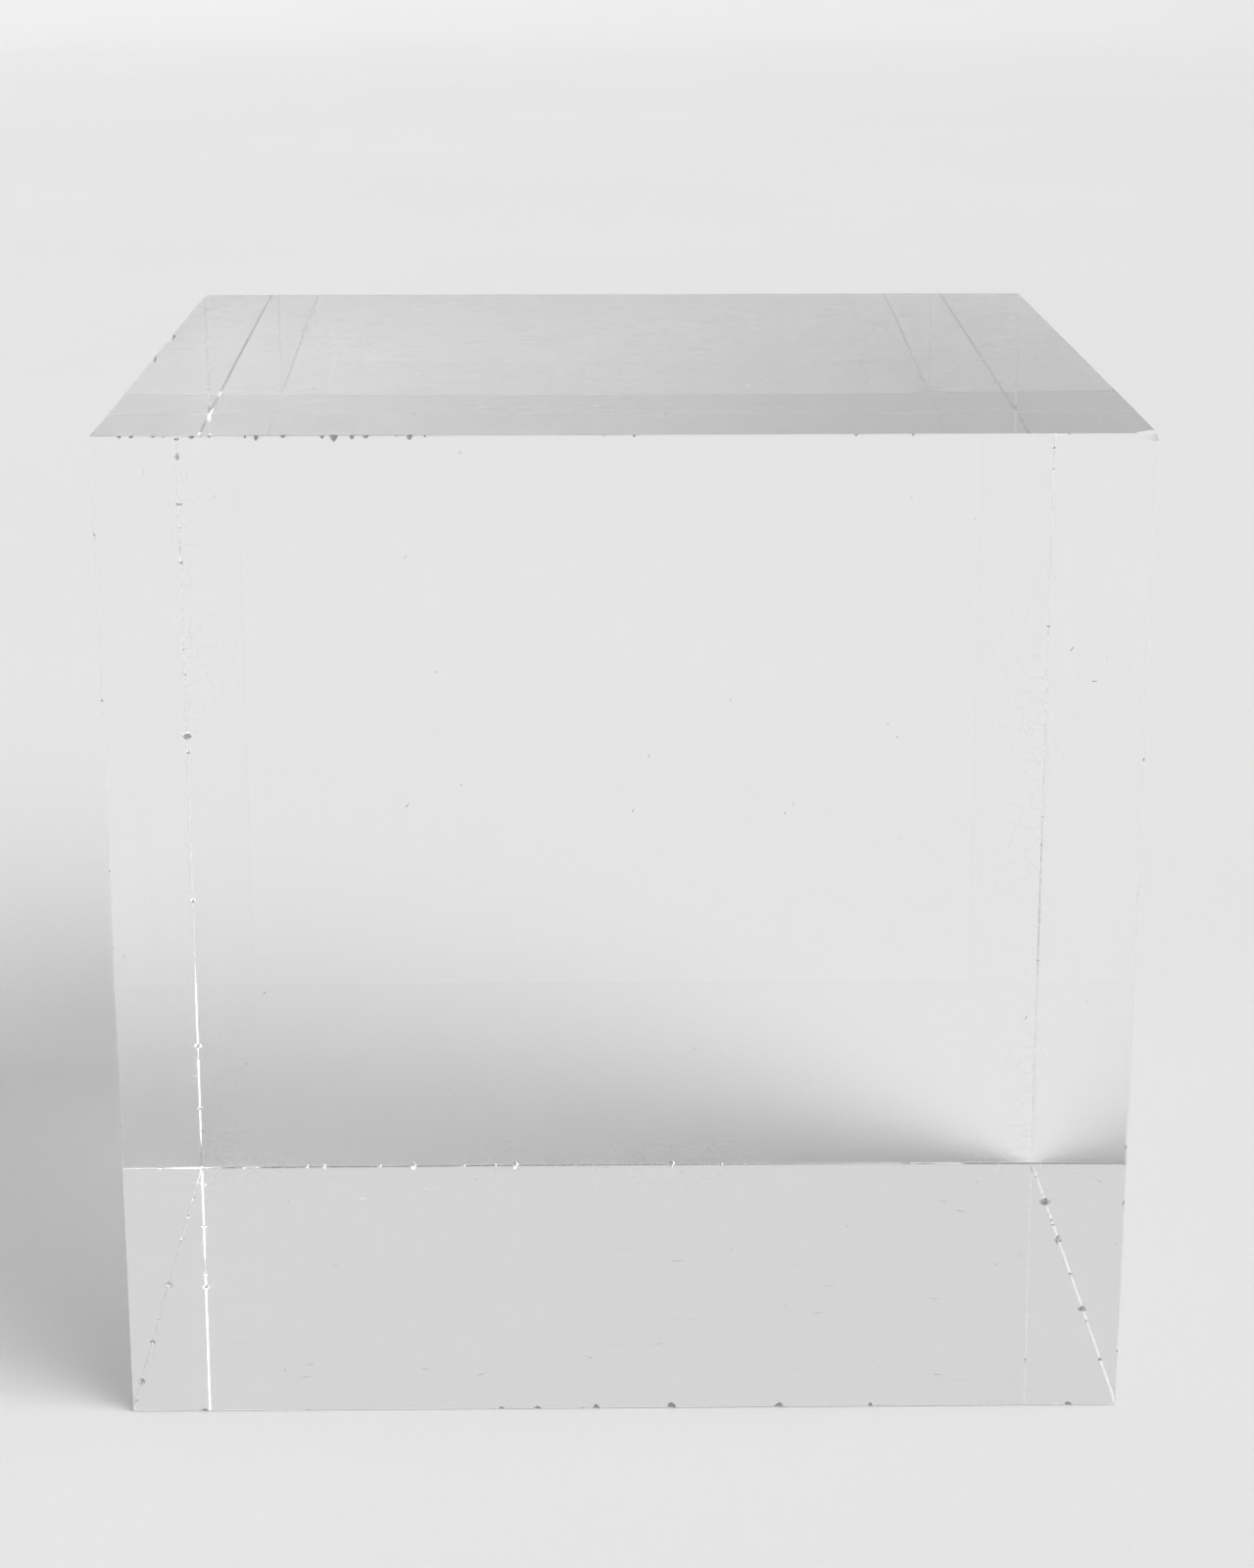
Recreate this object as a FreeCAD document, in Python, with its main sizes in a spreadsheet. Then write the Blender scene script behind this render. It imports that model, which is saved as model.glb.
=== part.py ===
"""Clear acrylic display block: one solid casting, sawn square and polished on all six faces.

Frame: millimetres, +Z up, +Y towards the back. The origin is the centre of the face the block stands on.
The block has no walls, joints, screws or feet, so the whole object is one sub-part.
"""

import FreeCAD
import Part
import Sketcher

import os

PARTS_FOLDER = "parts"

# Driving dimensions, in millimetres: alias, value, meaning.
SIZES = (
    ("block_width", 80.0, "block, left to right"),
    ("block_depth", 80.0, "block, front to back"),
    ("block_height", 80.0, "block, base to top"),
    ("edge_break", 0.15, "flat that takes the sharpness off every edge, measured along each face"),
)

# The four sides of the base outline, in drawing order.
FRONT, RIGHT, BACK, LEFT = range(4)

# Which end of a sketch line a constraint takes hold of.
LINE_START = 1
LINE_END = 2
SKETCH_ORIGIN = (-1, 1)

# A box has 12 edges and 6 faces; breaking its edges adds a flat on each edge and a facet on each corner.
BOX_EDGES = 12
BROKEN_BOX_FACES = 6 + 12 + 8


def make_sheet(doc):
    """Write the driving dimensions to the spreadsheet that every feature reads."""
    sheet = doc.addObject("Spreadsheet::Sheet", "sizes")
    for row, (alias, value, meaning) in enumerate(SIZES, start=1):
        sheet.set(f"A{row}", meaning)
        sheet.set(f"B{row}", str(value))
        sheet.setAlias(f"B{row}", alias)
    doc.recompute()
    return sheet


def origin_plane(body, role):
    """The body's own origin plane with this role."""
    for feature in body.Origin.OriginFeatures:
        if feature.Role == role:
            return feature
    raise RuntimeError(f"{body.Name} has no {role}")


def bind(sketch, constraint_name, constraint, expression):
    """Add a named constraint to a sketch and tie its value to the sheet."""
    index = sketch.addConstraint(constraint)
    sketch.renameConstraint(index, constraint_name)
    sketch.setExpression(f"Constraints.{constraint_name}", expression)


def draw_base_outline(body, sheet):
    """The rectangle the block stands on, centred on the origin."""
    sketch = body.newObject("Sketcher::SketchObject", "base_outline")
    sketch.AttachmentSupport = (origin_plane(body, "XY_Plane"), [""])
    sketch.MapMode = "FlatFace"

    right = sheet.block_width / 2
    back = sheet.block_depth / 2
    corners = (
        FreeCAD.Vector(-right, -back, 0),
        FreeCAD.Vector(right, -back, 0),
        FreeCAD.Vector(right, back, 0),
        FreeCAD.Vector(-right, back, 0),
    )
    for side, start in enumerate(corners):
        end = corners[(side + 1) % len(corners)]
        sketch.addGeometry(Part.LineSegment(start, end), False)

    for side in (FRONT, RIGHT, BACK, LEFT):
        following = (side + 1) % len(corners)
        sketch.addConstraint(Sketcher.Constraint("Coincident", side, LINE_END, following, LINE_START))
    for side in (FRONT, BACK):
        sketch.addConstraint(Sketcher.Constraint("Horizontal", side))
    for side in (RIGHT, LEFT):
        sketch.addConstraint(Sketcher.Constraint("Vertical", side))
    sketch.addConstraint(
        Sketcher.Constraint("Symmetric", FRONT, LINE_START, BACK, LINE_START, *SKETCH_ORIGIN)
    )
    width = Sketcher.Constraint("DistanceX", FRONT, LINE_START, FRONT, LINE_END, sheet.block_width)
    depth = Sketcher.Constraint("DistanceY", RIGHT, LINE_START, RIGHT, LINE_END, sheet.block_depth)
    bind(sketch, "width", width, "sizes.block_width")
    bind(sketch, "depth", depth, "sizes.block_depth")
    return sketch


def make_acrylic_block(doc, sheet):
    """The casting: a square prism with all twelve edges broken."""
    body = doc.addObject("PartDesign::Body", "acrylic_block")
    body.Label = "acrylic_block"
    outline = draw_base_outline(body, sheet)

    prism = body.newObject("PartDesign::Pad", "sawn_prism")
    prism.Profile = outline
    prism.setExpression("Length", "sizes.block_height")
    doc.recompute()

    edges = [f"Edge{number}" for number in range(1, len(prism.Shape.Edges) + 1)]
    if len(edges) != BOX_EDGES:
        raise RuntimeError(f"the sawn prism has {len(edges)} edges, not {BOX_EDGES}")
    broken = body.newObject("PartDesign::Chamfer", "broken_edges")
    broken.Base = (prism, edges)
    broken.setExpression("Size", "sizes.edge_break")
    body.Tip = broken
    doc.recompute()

    if len(body.Shape.Faces) != BROKEN_BOX_FACES:
        raise RuntimeError(f"the block has {len(body.Shape.Faces)} faces, not {BROKEN_BOX_FACES}")
    return body


def check_document(doc, sub_parts):
    """Stop if any feature failed or any sub-part is not one sound solid."""
    for feature in doc.Objects:
        if "Invalid" in feature.State or "Error" in feature.State:
            raise RuntimeError(f"{feature.Label} failed: {feature.State}")
    for sub_part in sub_parts:
        shape = sub_part.Shape
        if shape.isNull() or not shape.isValid() or len(shape.Solids) != 1:
            raise RuntimeError(f"{sub_part.Label} is not one valid solid")


def write_parts(sub_parts):
    """Write each sub-part to its own STEP file, named by its label."""
    os.makedirs(PARTS_FOLDER, exist_ok=True)
    for sub_part in sub_parts:
        sub_part.Shape.exportStep(os.path.join(PARTS_FOLDER, f"{sub_part.Label}.step"))
        box = sub_part.Shape.BoundBox
        print(
            f"{sub_part.Label}: {box.XLength:.3f} x {box.YLength:.3f} x {box.ZLength:.3f} mm, "
            f"{sub_part.Shape.Volume:.1f} mm3"
        )


def main():
    doc = FreeCAD.newDocument("display_block")
    sheet = make_sheet(doc)
    sub_parts = [make_acrylic_block(doc, sheet)]
    doc.recompute()
    check_document(doc, sub_parts)
    write_parts(sub_parts)


main()
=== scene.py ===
"""Looks of the clear acrylic display block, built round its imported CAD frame.

Metres, +Z up, +Y towards the back. The block is one clear solid, so its look is its optics: polished faces
that refract and mirror the studio, finely broken edges, and the small marks of a block that has been handled.
"""

import math
import random

import bmesh
import bpy
from mathutils import Matrix, Vector, noise


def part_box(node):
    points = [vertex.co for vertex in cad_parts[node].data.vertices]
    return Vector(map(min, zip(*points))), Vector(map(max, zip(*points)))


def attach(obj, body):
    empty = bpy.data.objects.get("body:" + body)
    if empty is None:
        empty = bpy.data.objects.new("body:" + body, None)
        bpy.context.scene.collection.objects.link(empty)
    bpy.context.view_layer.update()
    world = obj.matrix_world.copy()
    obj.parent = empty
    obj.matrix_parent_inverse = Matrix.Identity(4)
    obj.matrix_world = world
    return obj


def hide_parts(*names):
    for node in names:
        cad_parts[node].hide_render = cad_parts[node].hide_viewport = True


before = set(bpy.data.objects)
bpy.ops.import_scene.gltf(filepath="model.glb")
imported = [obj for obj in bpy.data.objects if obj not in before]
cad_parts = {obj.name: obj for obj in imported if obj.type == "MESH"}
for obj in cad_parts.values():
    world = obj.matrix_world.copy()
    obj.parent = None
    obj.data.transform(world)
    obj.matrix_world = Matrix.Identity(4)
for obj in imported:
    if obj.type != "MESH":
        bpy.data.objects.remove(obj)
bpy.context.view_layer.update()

NODE = "acrylic_block"
BODY = "root"
MM = 0.001

# The block's corners and its size along X, Y and Z.
LOW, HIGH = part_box(NODE)
SIZE = HIGH - LOW
CENTRE = (LOW + HIGH) / 2
AXES = (Vector((1, 0, 0)), Vector((0, 1, 0)), Vector((0, 0, 1)))
SIDES = (("left", "right"), ("front", "back"), ("base", "top"))

# Edges: a tiny polished round, as wide as the CAD block's broken edge. Each face is split into a grid, so
# that every cut touches only small simple shapes.
EDGE_ROUND = 0.15 * MM
EDGE_STEPS = 3
GRID_STEPS = 19

# Chips are scooped out by ellipsoids whose centres lie a little outside the edge, which keeps them shallow.
# LUMPS and RIPPLES say how close together the swells and ripples are, and LUMP and RIPPLE how high.
SCOOP_DETAIL = 3
SCOOP_OUTSIDE = 0.8
SCOOP_LUMP = 0.16
SCOOP_LUMPS = 1.6
SCOOP_RIPPLES = 9.0
SCOOP_RIPPLE = 0.025
CHIP_SPACING = 1.15
CRACK_WIDTH = 0.06 * MM

# A small chip's reach over each face and its length along the edge, both as shares of its size.
CHIP_REACH = (0.5, 0.9)
CHIP_LENGTH = (0.9, 1.8)

# The finishes that a cut can leave, in the order of the cutter's materials.
FRACTURED, FROSTED = range(2)

# Marks on a face are cut by flattened ellipsoids whose centres lie above it by MARK_LIFT of their height.
# Lengths are least and greatest, in millimetres, and spans are shares of a face. TOP_CROWDING moves the marks
# on the top to the right.
MARK_LIFT = 0.6
MARK_DEPTH = 0.02 * MM
MARK_WIDTH = 0.07 * MM
BASE_MARK_WIDTH = 0.09 * MM
TOP_MARKS = 34
BASE_MARKS = 30
SIDE_MARKS = 7
TOP_LENGTHS_MM = (0.25, 1.1)
BASE_LENGTHS_MM = (0.3, 1.6)
SIDE_LENGTHS_MM = (0.15, 0.5)
MARK_SPAN = (0.04, 0.96)
TOP_SPAN = (0.04, 0.97)
TOP_CROWDING = 0.7
SIDE_SPAN = (0.05, 0.95)

# Trapped bubbles: how many, their least and greatest radius in millimetres, and where in the block they lie.
BUBBLES = 14
BUBBLE_RADII_MM = (0.04, 0.09)
BUBBLE_SPAN = (0.06, 0.94)

# Faces that look straight along an axis stay flat; other faces are smooth up to creases of this angle.
FLAT_FACE = 0.9999
CREASE_ANGLE = math.radians(35)

# Clear acrylic: how it bends light, and the tint of a long way through it.
ACRYLIC_IOR = 1.49
ACRYLIC_TINT = (0.80, 0.92, 0.90, 1.0)
ACRYLIC_DENSITY = 0.5
WHITE = (1.0, 1.0, 1.0, 1.0)

# The surface detail that handling and polishing leave is drawn with noise. A span is the range of the noise's
# values over which a detail comes in, and nearly all values lie in NOISE_SPAN.
NOISE_SPAN = (0.3, 0.7)
WAVES_PER_METRE = 60.0
POLISH_WAVE = 0.004 * MM
HAZE_PER_METRE = 35.0
HAZE_SPAN = (0.45, 0.8)
HAZE = 0.003
HAIRLINE_TURNS = ((0.2, 0.5, 0.6), (0.9, -0.3, 2.1), (-0.4, 0.2, 3.5), (0.1, -0.8, 4.4), (1.3, 0.4, 5.3))
HAIRLINES_PER_METRE = 700.0
HAIRLINE_STRETCH = 160.0
HAIRLINE_WIDTH = 0.003
HAIRLINE_DEPTH = 0.006 * MM
HAIRLINE_ROUGHNESS = 0.35
HAIRLINE_TINT = (0.86, 0.87, 0.88, 1.0)
PATCHES_PER_METRE = 60.0
PATCH_SPAN = (0.55, 0.62)
WEAR_BAND = SIZE.z / 100
SIDE_WEAR = 0.35
GRAINS_PER_METRE = 9000.0
GRAIN_DEPTH = 0.03 * MM
# Grey across the grain of the broken faces comes in over this span: painted shade on the fractured chips, a
# plain grain tone on the frosted flake.
GRAIN_TONE_AND_SHADE_SPAN = (0.35, 0.65)

# The room: a round floor that sweeps up into a low wall, so that every side sees the same pale studio.
FLOOR_RADIUS = 1.8
SWEEP_RADIUS = 0.75
SWEEP_STEPS = 24
ROUND_STEPS = 96
SEAM_WELD = 0.1 * MM
# The next two values: the height over which the wall is painted darker, and how dark it ends, as painted
# shade of the light that falls off up the wall.
WALL_SHADE_HEIGHT = 0.3
WALL_SHADE_LEVEL = 0.84
PAPER_SHADES = (0.80, 0.815)
MOTTLES_PER_METRE = 6.0
FIBRES_PER_METRE = 900.0
FIBRE_DEPTH = 0.05 * MM
PAPER_ROUGHNESS = 0.75
PAPER_GLOSS = 0.2
AIR_GAP = 0.03 * MM

# Room light: as bright as the wall up to one height, then fading to the ceiling's, with heights as the sine
# of the angle above the horizon. The key is a bright side that fades out between an inner and an outer angle
# from its middle; azimuth 0 is the right and 90 the back, in degrees.
WALL_LIGHT = 0.66
WALL_LIGHT_TOP = 0.45
CEILING_LIGHT = 0.2
CEILING_HEIGHT = 0.8
KEY_LIGHT = 4.3
KEY_AZIMUTH = -32
KEY_ELEVATION = 44
KEY_INNER = 5
KEY_OUTER = 38

# The camera stands where the photographer stood, and looks further down to take in the whole block.
EYE_IN_FRONT = 3.02 * SIZE.x
EYE_ABOVE_TOP = 0.527 * SIZE.x
EYE_TO_LEFT = 0.046 * SIZE.x
CAMERA_TURN = math.radians(0.9)
CAMERA_TILT = math.radians(16.0)
CAMERA_LENS = 75.0
NEAREST_SEEN = 10 * MM

# The most bounces in all, and the most through or off clear faces.
MOST_BOUNCES = 32
CLEAR_BOUNCES = 24

CHIP_SEED = 11
MARK_SEED = 23
BUBBLE_SEED = 37


# ---------------------------------------------------------------- mesh helpers


def object_from(name, mesh):
    """A new object in the scene that shows this mesh."""
    made = bpy.data.objects.new(name, mesh)
    bpy.context.scene.collection.objects.link(made)
    return made


def mesh_from(name, bm):
    """A mesh with the bmesh's faces; the bmesh is freed."""
    mesh = bpy.data.meshes.new(name)
    bm.to_mesh(mesh)
    bm.free()
    return mesh


def block_point(across, deep, high):
    """A point of the block, from its shares of the width, the depth and the height."""
    return LOW + Vector((across * SIZE.x, deep * SIZE.y, high * SIZE.z))


def block_edges():
    """Every edge by the names of its two faces: its start, its run, and the inward directions across it."""
    edges = {}
    for axis in range(3):
        others = [other for other in range(3) if other != axis]
        for first_side in (0, 1):
            for second_side in (0, 1):
                start = LOW.copy()
                inward = []
                names = []
                for other, side in zip(others, (first_side, second_side)):
                    start[other] = (LOW, HIGH)[side][other]
                    names.append(SIDES[other][side])
                    inward.append(AXES[other] * (1 - 2 * side))
                # Going in along one face is moving away from the other face.
                edges["_".join(names)] = (start, AXES[axis] * SIZE[axis], inward)
    return edges


# ---------------------------------------------------------------- wear


class Cutter:
    """Closed lumps, kept clear of each other, that are cut out of the block in one go."""

    def __init__(self):
        self.bm = bmesh.new()
        self.taken = []

    def is_free(self, centre, reach):
        """True if this box keeps clear of every box that is taken."""
        for other, far in self.taken:
            gap = centre - other
            if all(abs(gap[i]) < CHIP_SPACING * (reach[i] + far[i]) for i in range(3)):
                return False
        return True

    def add(self, centre, axes, radii, rng, finish=FRACTURED):
        """Add one lumpy, faintly rippled ellipsoid, unless it would touch one that is there already."""
        reach = [math.hypot(*[axis[i] * radius for axis, radius in zip(axes, radii)]) for i in range(3)]
        if not self.is_free(centre, reach):
            return
        self.taken.append((centre, reach))
        shift = Vector([rng.uniform(0, 100) for _ in range(3)])
        hit = Vector([rng.gauss(0, 1) for _ in range(3)]).normalized()
        made = bmesh.ops.create_icosphere(self.bm, subdivisions=SCOOP_DETAIL, radius=1.0)
        for vertex in made["verts"]:
            way = vertex.co.normalized()
            lump = 1 + SCOOP_LUMP * noise.noise(way * SCOOP_LUMPS + shift)
            ripple = 1 + SCOOP_RIPPLE * math.sin(SCOOP_RIPPLES * way.angle(hit))
            vertex.co = centre.copy()
            for axis, radius, part in zip(axes, radii, way):
                vertex.co += axis * (radius * part * lump * ripple)
            for face in vertex.link_faces:
                face.material_index = finish


def chip_edge(cutter, edge, share, length, reaches, rng, finish=FRACTURED):
    """A chip on an edge: its length along the edge, and how far it reaches in over each face."""
    start, run, inward = edge
    outside = SCOOP_OUTSIDE
    radius = math.hypot(1 + outside, outside)
    length_left = math.sqrt(1 - 2 * (outside / radius) ** 2)
    axes = (run.normalized(), inward[0], inward[1])
    radii = (length / 2 / length_left, reaches[0] * radius, reaches[1] * radius)
    centre = start + run * share
    for direction, reach in zip(inward, reaches):
        centre = centre - direction * (reach * outside)
    cutter.add(centre, axes, radii, rng, finish)


def crack_edge(cutter, edge, share, reach, depth, rng):
    """A hair-thin crack that runs in from an edge over its first face, as deep as depth below that face."""
    start, run, inward = edge
    axes = (run.normalized(), inward[0], inward[1])
    cutter.add(start + run * share, axes, (CRACK_WIDTH / 2, reach, depth), rng)


def wear_edge(cutter, edge, first, last, count, smallest, largest, rng):
    """A run of small chips along part of an edge, mostly near the smallest size."""
    for _ in range(count):
        size = smallest + (largest - smallest) * rng.random() ** 2
        share = rng.uniform(first, last)
        reaches = (size * rng.uniform(*CHIP_REACH), size * rng.uniform(*CHIP_REACH))
        chip_edge(cutter, edge, share, size * rng.uniform(*CHIP_LENGTH), reaches, rng)


def mark_face(cutter, point, normal, heading, length, width, rng):
    """A short shallow gouge on a face, along heading."""
    side = normal.cross(heading)
    height = MARK_DEPTH / (1 - MARK_LIFT)
    spread = math.sqrt(1 - MARK_LIFT**2)
    centre = point + normal * (height * MARK_LIFT)
    radii = (length / 2 / spread, width / 2 / spread, height)
    cutter.add(centre, (heading, side, normal), radii, rng)


def cut_edge_chips(cutter, edges, rng):
    """The chips that each edge has, the large ones first."""
    # The flake off the top corner at the front right, and the pair of shells on the left top edge.
    chip_edge(cutter, edges["front_top"], 1.0, 3.2 * MM, (1.7 * MM, 0.6 * MM), rng, FROSTED)
    chip_edge(cutter, edges["left_top"], 0.47, 4.6 * MM, (0.42 * MM, 0.5 * MM), rng)
    chip_edge(cutter, edges["left_top"], 0.63, 5.6 * MM, (0.5 * MM, 0.6 * MM), rng)
    crack_edge(cutter, edges["left_top"], 0.552, 2.4 * MM, 0.4 * MM, rng)
    chip_edge(cutter, edges["right_top"], 0.25, 1.1 * MM, (0.4 * MM, 0.3 * MM), rng)
    chip_edge(cutter, edges["front_top"], 0.228, 0.6 * MM, (0.45 * MM, 0.45 * MM), rng)

    wear_edge(cutter, edges["front_top"], 0.02, 0.3, 20, 0.18 * MM, 0.4 * MM, rng)
    wear_edge(cutter, edges["front_top"], 0.3, 0.96, 6, 0.18 * MM, 0.28 * MM, rng)
    wear_edge(cutter, edges["left_back"], 0.05, 0.95, 16, 0.18 * MM, 0.5 * MM, rng)
    for name, edge in edges.items():
        if name.endswith("base"):
            wear_edge(cutter, edge, 0.03, 0.97, 12, 0.2 * MM, 0.65 * MM, rng)
        elif name not in ("front_top", "left_back"):
            wear_edge(cutter, edge, 0.03, 0.97, 7, 0.18 * MM, 0.36 * MM, rng)


def flat_heading(normal, rng):
    """A random direction that lies in the face with this normal."""
    spin = Matrix.Rotation(rng.uniform(0, math.tau), 3, normal)
    return spin @ normal.orthogonal().normalized()


def cut_face_marks(cutter, rng):
    """Fine gouges: most on the top, where things are set down, and on the base, which is pushed about."""
    up = AXES[2]
    for _ in range(TOP_MARKS):
        point = block_point(rng.uniform(*TOP_SPAN) ** TOP_CROWDING, rng.uniform(*MARK_SPAN), 1)
        length = rng.uniform(*TOP_LENGTHS_MM) * MM
        mark_face(cutter, point, up, flat_heading(up, rng), length, MARK_WIDTH, rng)
    for _ in range(BASE_MARKS):
        point = block_point(rng.uniform(*MARK_SPAN), rng.uniform(*MARK_SPAN), 0)
        length = rng.uniform(*BASE_LENGTHS_MM) * MM
        mark_face(cutter, point, -up, flat_heading(-up, rng), length, BASE_MARK_WIDTH, rng)
    for axis in (0, 1):
        for side in (0, 1):
            normal = AXES[axis] * (2 * side - 1)
            for _ in range(SIDE_MARKS):
                shares = [rng.uniform(*SIDE_SPAN) for _ in range(3)]
                shares[axis] = side
                length = rng.uniform(*SIDE_LENGTHS_MM) * MM
                heading = flat_heading(normal, rng)
                mark_face(cutter, block_point(*shares), normal, heading, length, MARK_WIDTH, rng)


# ---------------------------------------------------------------- the block


def plain_block():
    """The polished block, every edge finely rounded, its faces split into a grid of small squares."""
    bm = bmesh.new()
    bmesh.ops.create_cube(bm, size=1.0)
    for vertex in bm.verts:
        vertex.co = Vector([LOW[i] if vertex.co[i] < 0 else HIGH[i] for i in range(3)])
    bmesh.ops.bevel(
        bm, geom=bm.edges[:], offset=EDGE_ROUND, segments=EDGE_STEPS, profile=0.5, affect="EDGES"
    )
    for axis, heading in enumerate(AXES):
        for step in range(1, GRID_STEPS):
            place = LOW + heading * SIZE[axis] * step / GRID_STEPS
            everything = bm.verts[:] + bm.edges[:] + bm.faces[:]
            bmesh.ops.bisect_plane(bm, geom=everything, plane_co=place, plane_no=heading)
    return object_from("polished_block", mesh_from("polished_block", bm))


def cut_out(block, cutter, finishes):
    """Cut the lumps out of the block; each cut face takes its lump's finish."""
    bmesh.ops.recalc_face_normals(cutter.bm, faces=cutter.bm.faces[:])
    lumps = object_from("chips", mesh_from("chips", cutter.bm))
    for finish in finishes:
        lumps.data.materials.append(finish)
    cut = block.modifiers.new("chips", "BOOLEAN")
    cut.operation = "DIFFERENCE"
    cut.solver = "MANIFOLD"
    cut.object = lumps
    cut.material_mode = "TRANSFER"
    depsgraph = bpy.context.evaluated_depsgraph_get()
    mesh = bpy.data.meshes.new_from_object(block.evaluated_get(depsgraph))
    bpy.data.objects.remove(block)
    bpy.data.objects.remove(lumps)
    return mesh


def drop_slivers(bm):
    """Remove what the cuts left loose, so that the block is all of one piece."""
    reached = {max(bm.faces, key=lambda face: face.calc_area())}
    waiting = list(reached)
    while waiting:
        for edge in waiting.pop().edges:
            for face in edge.link_faces:
                if face not in reached:
                    reached.add(face)
                    waiting.append(face)
    loose = [vertex for vertex in bm.verts if reached.isdisjoint(vertex.link_faces)]
    bmesh.ops.delete(bm, geom=loose, context="VERTS")


def add_bubbles(bm, rng):
    """Pin-prick bubbles that the casting trapped, as closed cavities whose faces look inward."""
    for _ in range(BUBBLES):
        centre = block_point(*[rng.uniform(*BUBBLE_SPAN) for _ in range(3)])
        radius = rng.uniform(*BUBBLE_RADII_MM) * MM
        made = bmesh.ops.create_icosphere(
            bm, subdivisions=2, radius=radius, matrix=Matrix.Translation(centre)
        )
        faces = {face for vertex in made["verts"] for face in vertex.link_faces}
        bmesh.ops.reverse_faces(bm, faces=list(faces))


def make_block(polish, finishes):
    """The whole block: polished faces, chipped edges, marked faces and a few trapped bubbles."""
    block = plain_block()
    block.data.materials.append(polish)
    cutter = Cutter()
    cut_edge_chips(cutter, block_edges(), random.Random(CHIP_SEED))
    cut_face_marks(cutter, random.Random(MARK_SEED))
    mesh = cut_out(block, cutter, finishes)

    bm = bmesh.new()
    bm.from_mesh(mesh)
    drop_slivers(bm)
    add_bubbles(bm, random.Random(BUBBLE_SEED))
    bm.to_mesh(mesh)
    bm.free()
    mesh.set_sharp_from_angle(angle=CREASE_ANGLE)
    for face in mesh.polygons:
        face.use_smooth = max(abs(part) for part in face.normal) < FLAT_FACE
    return object_from("clear_block", mesh)


# ---------------------------------------------------------------- materials


class Nodes:
    """Shorthand for wiring the nodes of one material, or of the world."""

    def __init__(self, owner, shader="Principled BSDF", output="Material Output"):
        owner.use_nodes = True
        self.tree = owner.node_tree
        self.shader = self.tree.nodes[shader]
        self.output = self.tree.nodes[output]

    def new(self, kind, **settings):
        """A new node with these settings."""
        node = self.tree.nodes.new(kind)
        for name, value in settings.items():
            setattr(node, name, value)
        return node

    def wire(self, source, target):
        """Link an output to an input."""
        self.tree.links.new(source, target)

    def math(self, operation, first, second):
        """A maths node on two values, each a socket or a number."""
        node = self.new("ShaderNodeMath", operation=operation)
        for slot, value in enumerate((first, second)):
            if isinstance(value, (int, float)):
                node.inputs[slot].default_value = value
            else:
                self.wire(value, node.inputs[slot])
        return node.outputs[0]

    def ramp(self, value, start, end, low=0.0, high=1.0, shape="LINEAR"):
        """Map a value from start..end to low..high, held at both ends."""
        node = self.new("ShaderNodeMapRange", interpolation_type=shape)
        self.wire(value, node.inputs["Value"])
        for name, number in zip(("From Min", "From Max", "To Min", "To Max"), (start, end, low, high)):
            node.inputs[name].default_value = number
        return node.outputs["Result"]

    def place(self, turn=(0, 0, 0), stretch=1.0):
        """Object coordinates, turned, with what is drawn on them stretched along the turned X axis."""
        coordinates = self.new("ShaderNodeTexCoord")
        mapping = self.new("ShaderNodeMapping", vector_type="TEXTURE")
        mapping.inputs["Rotation"].default_value = turn
        mapping.inputs["Scale"].default_value = (stretch, 1.0, 1.0)
        self.wire(coordinates.outputs["Object"], mapping.inputs["Vector"])
        return mapping.outputs["Vector"]

    def noise(self, vector, scale, detail=2.0, roughness=0.5):
        """Smooth noise with about this many blotches to the metre."""
        node = self.new("ShaderNodeTexNoise")
        self.wire(vector, node.inputs["Vector"])
        node.inputs["Scale"].default_value = scale
        node.inputs["Detail"].default_value = detail
        node.inputs["Roughness"].default_value = roughness
        return node.outputs["Fac"]

    def grey(self, value):
        """The grey that is this bright."""
        node = self.new("ShaderNodeCombineColor")
        for channel in ("Red", "Green", "Blue"):
            self.wire(value, node.inputs[channel])
        return node.outputs["Color"]

    def bump(self, height, distance, under=None):
        """Relief as deep as distance, on top of another bump if one is given."""
        node = self.new("ShaderNodeBump")
        node.inputs["Strength"].default_value = 1.0
        node.inputs["Distance"].default_value = distance
        self.wire(height, node.inputs["Height"])
        if under is not None:
            self.wire(under, node.inputs["Normal"])
        return node.outputs["Normal"]


def hairlines(nodes, turn):
    """A sparse set of fine scratches that all run much the same way: 1 on a scratch and 0 elsewhere."""
    streaks = nodes.noise(nodes.place(turn, HAIRLINE_STRETCH), HAIRLINES_PER_METRE, detail=0.0)
    off_line = nodes.math("ABSOLUTE", nodes.math("SUBTRACT", streaks, 0.5), 0.0)
    line = nodes.ramp(off_line, 0.0, HAIRLINE_WIDTH, 1.0, 0.0)
    patches = nodes.noise(nodes.place(turn), PATCHES_PER_METRE, detail=1.0)
    return nodes.math("MULTIPLY", line, nodes.ramp(patches, *PATCH_SPAN))


def set_clear(shader):
    """What makes the shader clear acrylic, the same all over."""
    shader.inputs["Transmission Weight"].default_value = 1.0
    shader.inputs["IOR"].default_value = ACRYLIC_IOR
    shader.inputs["Specular IOR Level"].default_value = 0.5


def add_absorption(nodes):
    """The faint cool tint that shows only along a long way through the block."""
    absorb = nodes.new("ShaderNodeVolumeAbsorption")
    absorb.inputs["Color"].default_value = ACRYLIC_TINT
    absorb.inputs["Density"].default_value = ACRYLIC_DENSITY
    nodes.wire(absorb.outputs["Volume"], nodes.output.inputs["Volume"])


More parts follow.
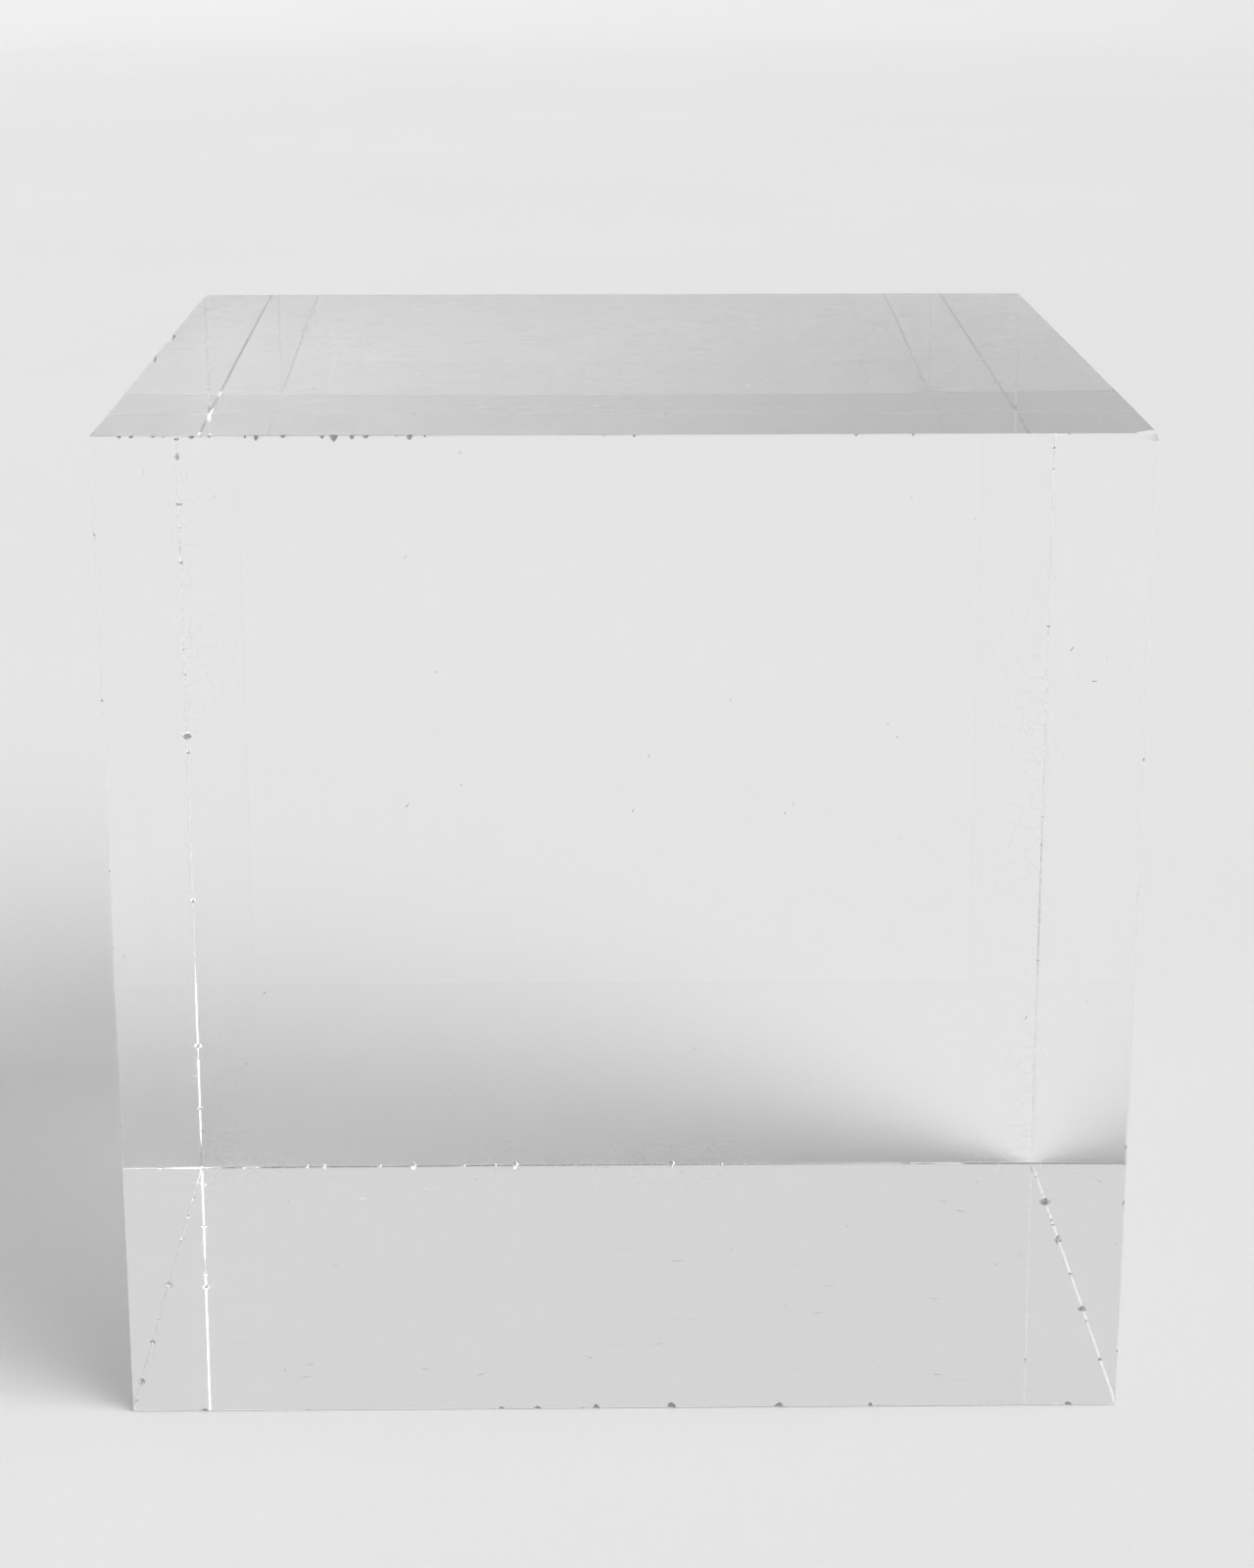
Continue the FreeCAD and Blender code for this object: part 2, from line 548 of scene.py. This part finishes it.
def polished_acrylic():
    """Flame-clear cast acrylic: optically flat faces with a trace of polishing waves, haze and hairlines."""
    material = bpy.data.materials.new("polished_acrylic")
    nodes = Nodes(material)
    set_clear(nodes.shader)

    scratches = hairlines(nodes, HAIRLINE_TURNS[0])
    for turn in HAIRLINE_TURNS[1:]:
        scratches = nodes.math("MAXIMUM", scratches, hairlines(nodes, turn))
    height = nodes.new("ShaderNodeSeparateXYZ")
    nodes.wire(nodes.place(), height.inputs["Vector"])
    handled = nodes.ramp(height.outputs["Z"], HIGH.z - WEAR_BAND, HIGH.z, SIDE_WEAR, 1.0)
    scratches = nodes.math("MULTIPLY", scratches, handled)

    flat = nodes.bump(nodes.noise(nodes.place(), WAVES_PER_METRE, detail=1.0), POLISH_WAVE)
    nodes.wire(nodes.bump(scratches, HAIRLINE_DEPTH, under=flat), nodes.shader.inputs["Normal"])

    clouds = nodes.noise(nodes.place(), HAZE_PER_METRE, detail=3.0)
    haze = nodes.ramp(clouds, *HAZE_SPAN, 0.0, HAZE)
    rough = nodes.math("ADD", haze, nodes.math("MULTIPLY", scratches, HAIRLINE_ROUGHNESS))
    nodes.wire(rough, nodes.shader.inputs["Roughness"])

    tint = nodes.new("ShaderNodeMix", data_type="RGBA")
    tint.inputs["A"].default_value = WHITE
    tint.inputs["B"].default_value = HAIRLINE_TINT
    nodes.wire(scratches, tint.inputs["Factor"])
    nodes.wire(tint.outputs["Result"], nodes.shader.inputs["Base Color"])
    add_absorption(nodes)
    return material


def grainy_acrylic(name, clearness, roughness, tone_and_painted_shade):
    """Broken acrylic: how much light goes through, and the ranges of its roughness and of its grey across the
    grain, which on the fractured chips is painted shade.
    """
    material = bpy.data.materials.new(name)
    nodes = Nodes(material)
    set_clear(nodes.shader)
    nodes.shader.inputs["Transmission Weight"].default_value = clearness
    grain = nodes.noise(nodes.place(), GRAINS_PER_METRE, detail=3.0, roughness=0.6)
    nodes.wire(nodes.ramp(grain, *NOISE_SPAN, *roughness), nodes.shader.inputs["Roughness"])
    nodes.wire(nodes.bump(grain, GRAIN_DEPTH), nodes.shader.inputs["Normal"])
    # Painted shade: the grain greys the broken faces, darkening the fractured chips.
    nodes.wire(nodes.grey(nodes.ramp(grain, *GRAIN_TONE_AND_SHADE_SPAN, *tone_and_painted_shade)), nodes.shader.inputs["Base Color"])
    add_absorption(nodes)
    return material


def fractured_acrylic():
    """The shell-like surface inside a small chip, its grain painted grey as painted shade that darkens the
    chip.
    """
    return grainy_acrylic("fractured_acrylic", clearness=1.0, roughness=(0.12, 0.6), tone_and_painted_shade=(1.0, 0.6))


def frosted_acrylic():
    """The white, crushed surface that a hard knock leaves."""
    return grainy_acrylic("frosted_acrylic", clearness=0.4, roughness=(0.45, 0.7), tone_and_painted_shade=(1.0, 0.85))


def studio_paper():
    """Matt white paper with the faintest mottle, painted darker up the wall as painted shade of the light
    falling off with height.
    """
    material = bpy.data.materials.new("studio_paper")
    nodes = Nodes(material)
    mottle = nodes.noise(nodes.place(), MOTTLES_PER_METRE, detail=4.0)
    height = nodes.new("ShaderNodeSeparateXYZ")
    nodes.wire(nodes.place(), height.inputs["Vector"])
    # Painted shade: the paper darkens with height up the wall.
    painted_wall_shade = nodes.ramp(height.outputs["Z"], 0.0, WALL_SHADE_HEIGHT, 1.0, WALL_SHADE_LEVEL)
    shade = nodes.math("MULTIPLY", nodes.ramp(mottle, *NOISE_SPAN, *PAPER_SHADES), painted_wall_shade)
    nodes.wire(nodes.grey(shade), nodes.shader.inputs["Base Color"])
    fibres = nodes.noise(nodes.place(), FIBRES_PER_METRE)
    nodes.wire(nodes.bump(fibres, FIBRE_DEPTH), nodes.shader.inputs["Normal"])
    nodes.shader.inputs["Roughness"].default_value = PAPER_ROUGHNESS
    nodes.shader.inputs["Specular IOR Level"].default_value = PAPER_GLOSS
    return material


# ---------------------------------------------------------------- studio


def make_room(paper):
    """A round paper floor that sweeps up into a wall all the way round."""
    profile = [(0.0, 0.0), (FLOOR_RADIUS, 0.0)]
    for step in range(1, SWEEP_STEPS + 1):
        angle = math.pi / 2 * step / SWEEP_STEPS
        out = FLOOR_RADIUS + SWEEP_RADIUS * math.sin(angle)
        profile.append((out, SWEEP_RADIUS * (1 - math.cos(angle))))

    bm = bmesh.new()
    spine = [bm.verts.new((out, 0.0, high)) for out, high in profile]
    strips = [bm.edges.new(pair) for pair in zip(spine, spine[1:])]
    bmesh.ops.spin(
        bm, geom=spine + strips, cent=(0, 0, 0), axis=AXES[2], angle=math.tau, steps=ROUND_STEPS
    )
    bmesh.ops.remove_doubles(bm, verts=bm.verts[:], dist=SEAM_WELD)
    bmesh.ops.recalc_face_normals(bm, faces=bm.faces[:])
    for face in bm.faces:
        face.smooth = True
    room = object_from("paper_sweep", mesh_from("paper_sweep", bm))
    room.location = (CENTRE.x, CENTRE.y, LOW.z - AIR_GAP)
    room.data.materials.append(paper)


def make_world():
    """Room light, paler near the walls than overhead, with one bright side whose edge is feathered."""
    world = bpy.data.worlds.new("room_light")
    world.use_nodes = True
    nodes = Nodes(world, "Background", "World Output")
    around = math.radians(KEY_AZIMUTH)
    up = math.radians(KEY_ELEVATION)
    direction = nodes.new("ShaderNodeTexCoord").outputs["Generated"]

    height = nodes.new("ShaderNodeSeparateXYZ")
    nodes.wire(direction, height.inputs["Vector"])
    room = nodes.ramp(height.outputs["Z"], WALL_LIGHT_TOP, CEILING_HEIGHT, WALL_LIGHT, CEILING_LIGHT)

    facing = nodes.new("ShaderNodeVectorMath", operation="DOT_PRODUCT")
    facing.inputs[1].default_value = (
        math.cos(around) * math.cos(up), math.sin(around) * math.cos(up), math.sin(up)
    )
    nodes.wire(direction, facing.inputs[0])
    outer = math.cos(math.radians(KEY_OUTER))
    inner = math.cos(math.radians(KEY_INNER))
    key = nodes.ramp(facing.outputs["Value"], outer, inner, 0.0, KEY_LIGHT, shape="SMOOTHSTEP")

    nodes.wire(nodes.math("ADD", room, key), nodes.shader.inputs["Strength"])
    nodes.shader.inputs["Color"].default_value = WHITE
    bpy.context.scene.world = world


def make_camera():
    """The photographer's eye point and lens."""
    data = bpy.data.cameras.new("camera")
    data.lens = CAMERA_LENS
    data.clip_start = NEAREST_SEEN
    camera = bpy.data.objects.new("camera", data)
    camera.location = (CENTRE.x - EYE_TO_LEFT, LOW.y - EYE_IN_FRONT, HIGH.z + EYE_ABOVE_TOP)
    camera.rotation_euler = (math.pi / 2 - CAMERA_TILT, 0.0, -CAMERA_TURN)
    bpy.context.scene.collection.objects.link(camera)
    bpy.context.scene.camera = camera


def set_light_paths():
    """Enough bounces for light that is mirrored many times inside the block."""
    cycles = bpy.context.scene.cycles
    cycles.max_bounces = MOST_BOUNCES
    cycles.transmission_bounces = CLEAR_BOUNCES
    cycles.glossy_bounces = CLEAR_BOUNCES
    bpy.context.scene.view_settings.view_transform = "Standard"


make_camera()
make_room(studio_paper())
make_world()
set_light_paths()

block = make_block(polished_acrylic(), (fractured_acrylic(), frosted_acrylic()))
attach(block, BODY)
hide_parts(NODE)
